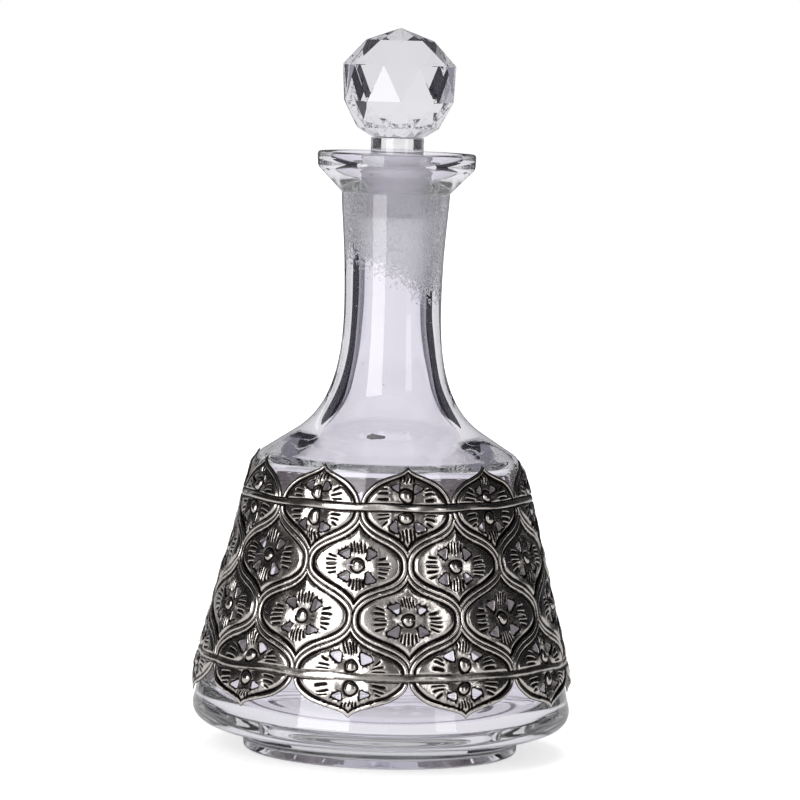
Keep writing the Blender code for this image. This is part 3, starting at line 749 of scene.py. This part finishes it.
def wrapped_quarter(kind, motif, side):
    """One quarter on the cone: places, triangles and tarnish, shifted a little as hand work is."""
    row, turn, bead, up, half_height, free = QUARTERS[kind]
    plan, (points, triangles, rise, tarnish) = quarters[kind]
    chance = np.random.default_rng(int(1000 * row) + motif)
    drift_x, drift_y = chance.uniform(-0.65, 0.65, 2)
    x, y = points.T
    inner = smooth(distance_to(points, plan["outline"]), 2.7, 5.0)
    if bead:
        inner = inner * smooth(y, 0.0, 2.5)
    flat = np.column_stack([side * x, y, np.zeros_like(x)])
    across = side * x + (drift_x + 0.32 * waver(flat, 8, 100 * kind + motif)) * inner
    height = row + up * (bead + y) + (drift_y + 0.32 * waver(flat, 8, 100 * kind + motif + 50)) * inner
    azimuth = SLEEVE_TURN + (motif + turn) * math.tau / MOTIFS
    azimuth = azimuth + across / plan["half_width"] * math.pi / MOTIFS
    radius = sleeve_radius_at(height)
    flat = np.column_stack([radius * np.sin(azimuth), -radius * np.cos(azimuth), height])
    away = smooth(np.minimum(height - TIP, TOP - height), 0.0, 6.0)
    azimuth = azimuth + 0.38 * waver(flat, 26, 11) / radius
    height = height + 0.34 * waver(flat, 24, 12) * away
    uneven = 0.18 + 0.22 * (y < 0)
    radius = sleeve_radius_at(height) + rise * (1 + uneven * waver(flat, 11, 15))
    radius = radius + (0.20 * waver(flat, 34, 13) + 0.07 * waver(flat, 9, 14)) * (0.3 + 0.7 * away)
    radius = np.minimum(radius, WIDEST)
    places = np.column_stack([radius * np.sin(azimuth), -radius * np.cos(azimuth), height]) * MM
    facing = np.linalg.det(np.stack([points[triangles[:, 1]] - points[triangles[:, 0]],
                                     points[triangles[:, 2]] - points[triangles[:, 0]]], axis=1))
    triangles = np.where((facing > 0)[:, None], triangles, triangles[:, ::-1])
    if side * up < 0:
        triangles = triangles[:, ::-1]
    return places, triangles, tarnish


def sleeve_part(name, motifs):
    """The columns of motifs with these numbers, welded into one sheet with a thickness."""
    places, triangles, tarnish, count = [], [], [], 0
    for kind in range(len(QUARTERS)):
        for motif in motifs:
            for side in (-1, 1):
                p, t, d = wrapped_quarter(kind, motif, side)
                places.append(p)
                triangles.append(t + count)
                tarnish.append(d)
                count += len(p)
    mesh = bpy.data.meshes.new(name)
    mesh.from_pydata(np.vstack(places).tolist(), [], np.vstack(triangles).tolist())
    layer = mesh.attributes.new("tarnish", "FLOAT", "POINT")
    layer.data.foreach_set("value", np.concatenate(tarnish).astype(np.float32))
    obj = bpy.data.objects.new(name, mesh)
    scene.collection.objects.link(obj)
    select_only(obj)
    bpy.ops.object.mode_set(mode="EDIT")
    bpy.ops.mesh.select_all(action="SELECT")
    bpy.ops.mesh.remove_doubles(threshold=0.00002)
    bpy.ops.object.mode_set(mode="OBJECT")
    sheet = obj.modifiers.new("sheet", "SOLIDIFY")
    sheet.thickness = SHEET * MM
    sheet.offset = -1.0
    outer_count = len(mesh.vertices)
    bpy.ops.object.modifier_apply(modifier="sheet")
    # A tarnish of -1 marks the inner face of the sheet
    values = np.zeros(len(mesh.vertices), np.float32)
    mesh.attributes["tarnish"].data.foreach_get("value", values)
    values[outer_count:] = -1.0
    mesh.attributes["tarnish"].data.foreach_set("value", values)
    bpy.ops.object.shade_smooth_by_angle(angle=math.radians(60))
    return obj


sleeve = [sleeve_part("silver_sleeve_" + str(part + 1), (2 * part, 2 * part + 1)) for part in range(5)]
print("sleeve:", sum(len(obj.data.polygons) for obj in sleeve), "triangles")

# %% [markdown]
# Soda-lime glass is clear, with a faint grey-green in its thickness, and its fire-polished face is
# quite smooth. The socket inside the neck is ground with grit, so there the same glass is white and
# scatters light, down to a ragged edge where the grinding stopped.

# %% Bottle glass with a ground socket
def ground_look(tree, mask, rough, clear):
    """Bump, roughness, clearness and colour that turn from polished to ground where the mask is 1."""
    place = add_node(tree, "ShaderNodeTexCoord")
    grit = add_node(tree, "ShaderNodeTexNoise", {"Vector": place.outputs["Object"], "Scale": 1500.0,
                                                 "Detail": 3.0, "Roughness": 0.65})
    speck = add_node(tree, "ShaderNodeTexNoise", {"Vector": place.outputs["Object"], "Scale": 900.0,
                                                  "Detail": 3.0})
    height = add_node(tree, "ShaderNodeMath", {0: grit.outputs["Fac"], 1: mask}, operation="MULTIPLY")
    bump = add_node(tree, "ShaderNodeBump", {"Height": height.outputs[0], "Strength": 0.9,
                                             "Distance": 0.00020})
    roughness = add_node(tree, "ShaderNodeMapRange", {"Value": mask, "To Min": 0.0, "To Max": rough})
    clearness = add_node(tree, "ShaderNodeMapRange", {"Value": speck.outputs["Fac"], "From Min": 0.42,
                                                      "From Max": 0.58, "To Min": 0.40, "To Max": 0.95})
    through = add_node(tree, "ShaderNodeMix", {"Factor": mask, 2: 1.0, 3: clearness.outputs[0]},
                       data_type="FLOAT")
    tint = add_node(tree, "ShaderNodeMix", {"Factor": mask, 6: colour(clear), 7: colour("#F8F7FA")},
                    data_type="RGBA")
    return bump.outputs[0], roughness.outputs[0], through.outputs[0], tint.outputs[2]


def glass_shader(tree, out, bump, roughness, through, tint, ior):
    """Glass of one index, with the faint grey-green that shows in its thickness."""
    shader = add_node(tree, "ShaderNodeBsdfPrincipled", {
        "Base Color": tint, "IOR": ior, "Roughness": roughness, "Transmission Weight": through,
        "Normal": bump,
    })
    depth = add_node(tree, "ShaderNodeVolumeAbsorption", {"Color": colour("#E9EAE9"), "Density": 20.0})
    tree.links.new(shader.outputs[0], out.inputs["Surface"])
    tree.links.new(depth.outputs[0], out.inputs["Volume"])


soda_glass, tree, out = new_material("blown_soda_lime_glass")
place = add_node(tree, "ShaderNodeTexCoord")
split = add_node(tree, "ShaderNodeSeparateXYZ", {0: place.outputs["Object"]})
flat = add_node(tree, "ShaderNodeCombineXYZ", {"X": split.outputs["X"], "Y": split.outputs["Y"]})
away = add_node(tree, "ShaderNodeVectorMath", {0: flat.outputs[0]}, operation="LENGTH")
inner = add_node(tree, "ShaderNodeMath", {0: away.outputs["Value"], 1: 15.2 * MM}, operation="LESS_THAN")
slant = add_node(tree, "ShaderNodeMath", {0: split.outputs["X"], 1: 0.62, 2: split.outputs["Z"]},
                 operation="MULTIPLY_ADD")
blot = add_node(tree, "ShaderNodeTexNoise", {"Vector": place.outputs["Object"], "Scale": 260.0,
                                             "Detail": 4.0, "Roughness": 0.7})
ragged = add_node(tree, "ShaderNodeMath", {0: blot.outputs["Fac"], 1: 18 * MM, 2: slant.outputs[0]},
                  operation="MULTIPLY_ADD")
started = add_node(tree, "ShaderNodeMapRange", {"Value": ragged.outputs[0], "From Min": 171.0 * MM,
                                                "From Max": 187.0 * MM, "To Min": 0.27, "To Max": 0.75})
pit = add_node(tree, "ShaderNodeTexNoise", {"Vector": place.outputs["Object"], "Scale": 1000.0,
                                            "Detail": 3.0})
pitted = add_node(tree, "ShaderNodeMath", {0: started.outputs[0], 1: pit.outputs["Fac"]},
                  operation="SUBTRACT")
pitted = add_node(tree, "ShaderNodeMapRange", {"Value": pitted.outputs[0], "From Min": -0.02,
                                               "From Max": 0.04})
below = add_node(tree, "ShaderNodeMath", {0: split.outputs["Z"], 1: 200.0 * MM}, operation="LESS_THAN")
within = add_node(tree, "ShaderNodeMath", {0: inner.outputs[0], 1: below.outputs[0]}, operation="MULTIPLY")
mask = add_node(tree, "ShaderNodeMath", {0: pitted.outputs[0], 1: within.outputs[0]}, operation="MULTIPLY")
bump, roughness, through, tint = ground_look(tree, mask.outputs[0], 0.38, "#F8F6FD")
glass_shader(tree, out, bump, roughness, through, tint, 1.51)

# %% Ground and sawn glass of the plug
ground_glass, tree, out = new_material("ground_and_sawn_glass")
place = add_node(tree, "ShaderNodeTexCoord")
split = add_node(tree, "ShaderNodeSeparateXYZ", {0: place.outputs["Object"]})
ground = add_node(tree, "ShaderNodeMapRange", {
    "Value": split.outputs["Z"], "From Min": (SEAT + 0.3) * MM, "From Max": (SEAT - 0.3) * MM,
    "To Min": 0.12, "To Max": 1.0,
})
bump, roughness, through, tint = ground_look(tree, ground.outputs[0], 0.45, "#FAF9FC")
glass_shader(tree, out, bump, roughness, through, tint, 1.51)

# %% Lead crystal of the ball
crystal, tree, out = new_material("cut_lead_crystal")
place = add_node(tree, "ShaderNodeTexCoord")
wear = add_node(tree, "ShaderNodeTexNoise", {"Vector": place.outputs["Object"], "Scale": 140.0,
                                             "Detail": 2.0})
polish = add_node(tree, "ShaderNodeMapRange", {"Value": wear.outputs["Fac"], "From Min": 0.5,
                                               "From Max": 0.8, "To Min": 0.0, "To Max": 0.04})
shader = add_node(tree, "ShaderNodeBsdfPrincipled", {
    "Base Color": colour("#EAE9EE"), "IOR": 1.55, "Roughness": polish.outputs[0],
    "Transmission Weight": 1.0,
})
tree.links.new(shader.outputs[0], out.inputs["Surface"])

# %% [markdown]
# The sleeve's metal is silver plate that was dipped to blacken it and then rubbed, so the high
# places are bright and soft in their shine and the grooves keep the black. The tarnish was worked
# out with the relief, point by point, and a fine noise breaks its edge. The sheet's inner face was
# never rubbed or blackened: it is pale and nearly matt, and shows through the glass.

# %% Rubbed and blackened silver
silver, tree, out = new_material("rubbed_oxidised_silver_plate")
place = add_node(tree, "ShaderNodeTexCoord")
dark = add_node(tree, "ShaderNodeAttribute", attribute_name="tarnish")
stain = add_node(tree, "ShaderNodeTexNoise", {"Vector": place.outputs["Object"], "Scale": 320.0,
                                              "Detail": 5.0, "Roughness": 0.65})
broken = add_node(tree, "ShaderNodeMapRange", {"Value": stain.outputs["Fac"], "From Min": 0.3,
                                               "From Max": 0.7, "To Min": 0.0, "To Max": 0.38})
sum_up = add_node(tree, "ShaderNodeMath", {0: dark.outputs["Fac"], 1: broken.outputs[0]}, operation="ADD")
depth = add_node(tree, "ShaderNodeMapRange", {"Value": sum_up.outputs[0], "From Min": 0.25,
                                              "From Max": 1.0}, interpolation_type="SMOOTHSTEP")
tone = add_node(tree, "ShaderNodeMix", {"Factor": depth.outputs[0], 6: colour("#D3CDC8"),
                                        7: colour("#1B1516")}, data_type="RGBA")
sheen = add_node(tree, "ShaderNodeMix", {"Factor": depth.outputs[0], 2: 0.22, 3: 0.50},
                 data_type="FLOAT")
back = add_node(tree, "ShaderNodeMath", {0: dark.outputs["Fac"], 1: -0.5}, operation="LESS_THAN")
tone = add_node(tree, "ShaderNodeMix", {"Factor": back.outputs[0], 6: tone.outputs[2],
                                        7: colour("#EBE6D8")}, data_type="RGBA")
plated = add_node(tree, "ShaderNodeMapRange", {"Value": back.outputs[0], "To Min": 1.0, "To Max": 0.25})
sheen = add_node(tree, "ShaderNodeMix", {"Factor": back.outputs[0], 2: sheen.outputs[0], 3: 0.35},
                 data_type="FLOAT")
rub = add_node(tree, "ShaderNodeTexNoise", {"Vector": place.outputs["Object"], "Scale": 900.0,
                                            "Detail": 4.0, "Roughness": 0.6})
bump = add_node(tree, "ShaderNodeBump", {"Height": rub.outputs["Fac"], "Strength": 0.35,
                                         "Distance": 0.00010})
shader = add_node(tree, "ShaderNodeBsdfPrincipled", {
    "Base Color": tone.outputs[2], "Metallic": plated.outputs[0], "Roughness": sheen.outputs[0],
    "Normal": bump.outputs[0],
})
tree.links.new(shader.outputs[0], out.inputs["Surface"])

# %% Put the pieces on their bodies
finish_piece(bottle, "bottle", "glass_bottle", soda_glass)
finish_piece(plug, "stopper", "stopper_plug", ground_glass)
finish_piece(ball, "stopper", "stopper_ball", crystal)
for obj in sleeve:
    finish_piece(obj, "bottle", "metal_sleeve", silver)
